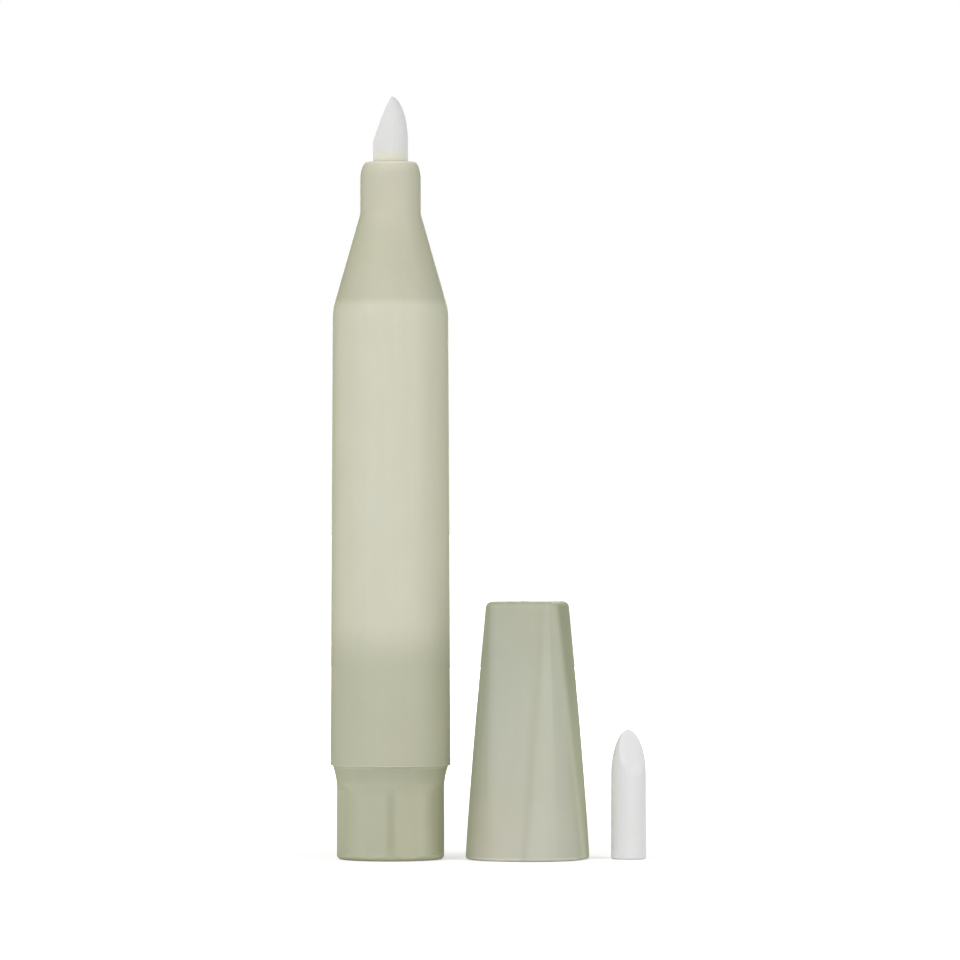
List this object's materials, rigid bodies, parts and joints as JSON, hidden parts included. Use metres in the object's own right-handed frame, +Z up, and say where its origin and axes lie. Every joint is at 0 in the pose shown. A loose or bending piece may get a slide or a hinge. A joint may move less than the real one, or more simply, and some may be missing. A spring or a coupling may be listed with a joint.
{
  "type": "nail polish corrector pen",
  "caption": "Upright pen with a translucent tapered barrel, necked front with a bevelled felt nib, and a faceted tail cap; its flatted cap and a spare nib stand beside it.",
  "frame": {"origin": "centre of the tail cap's flat base, on the pen's axis", "axes": "+Z up the pen's axis towards the nib, +X towards the cap and the spare nib that stand beside it, -Y towards the viewer of the picture"},
  "size_m": [0.0456, 0.018, 0.1102],
  "materials": {
    "barrel_plastic": "frosted, faintly olive polypropylene with a soft gloss",
    "tail_plastic": "frosted, faintly olive polypropylene with a soft gloss",
    "cap_plastic": "frosted, faintly olive polypropylene with a soft gloss",
    "liner_plastic": "natural, milky, semi-soft",
    "plug_plastic": "natural, milky, semi-soft",
    "felt": "dense pressed white felt",
    "fibre": "bundled white fibre",
    "film": "thin clear wrapping film"
  },
  "bodies": {
    "barrel": {"barrel": "barrel_plastic", "transfer_wick": "fibre", "reservoir_core": "fibre", "reservoir_wrap": "film"},
    "nib": {"nib": "felt"},
    "tail_cap": {"tail_cap": "tail_plastic", "sealing_plug": "plug_plastic", "stored_nib_1": "felt", "stored_nib_2": "felt"},
    "cap": {"cap_shell": "cap_plastic", "cap_liner": "liner_plastic"},
    "spare_nib": {"spare_nib": "felt"}
  },
  "joints": [
    {"name": "nib_pull", "type": "slide", "parent": "barrel", "child": "nib", "axis": [0, 0, 1], "range_m": [0, 0.0105]},
    {"name": "tail_cap_pull", "type": "slide", "parent": "barrel", "child": "tail_cap", "axis": [0, 0, -1], "range_m": [0, 0.0185]},
    {"name": "cap_lift", "type": "slide", "parent": "barrel", "child": "cap", "axis": [0, 0, 1], "range_m": [0, 0.112]},
    {"name": "spare_nib_lift", "type": "slide", "parent": "barrel", "child": "spare_nib", "axis": [0, 0, 1], "range_m": [0, 0.112]}
  ]
}
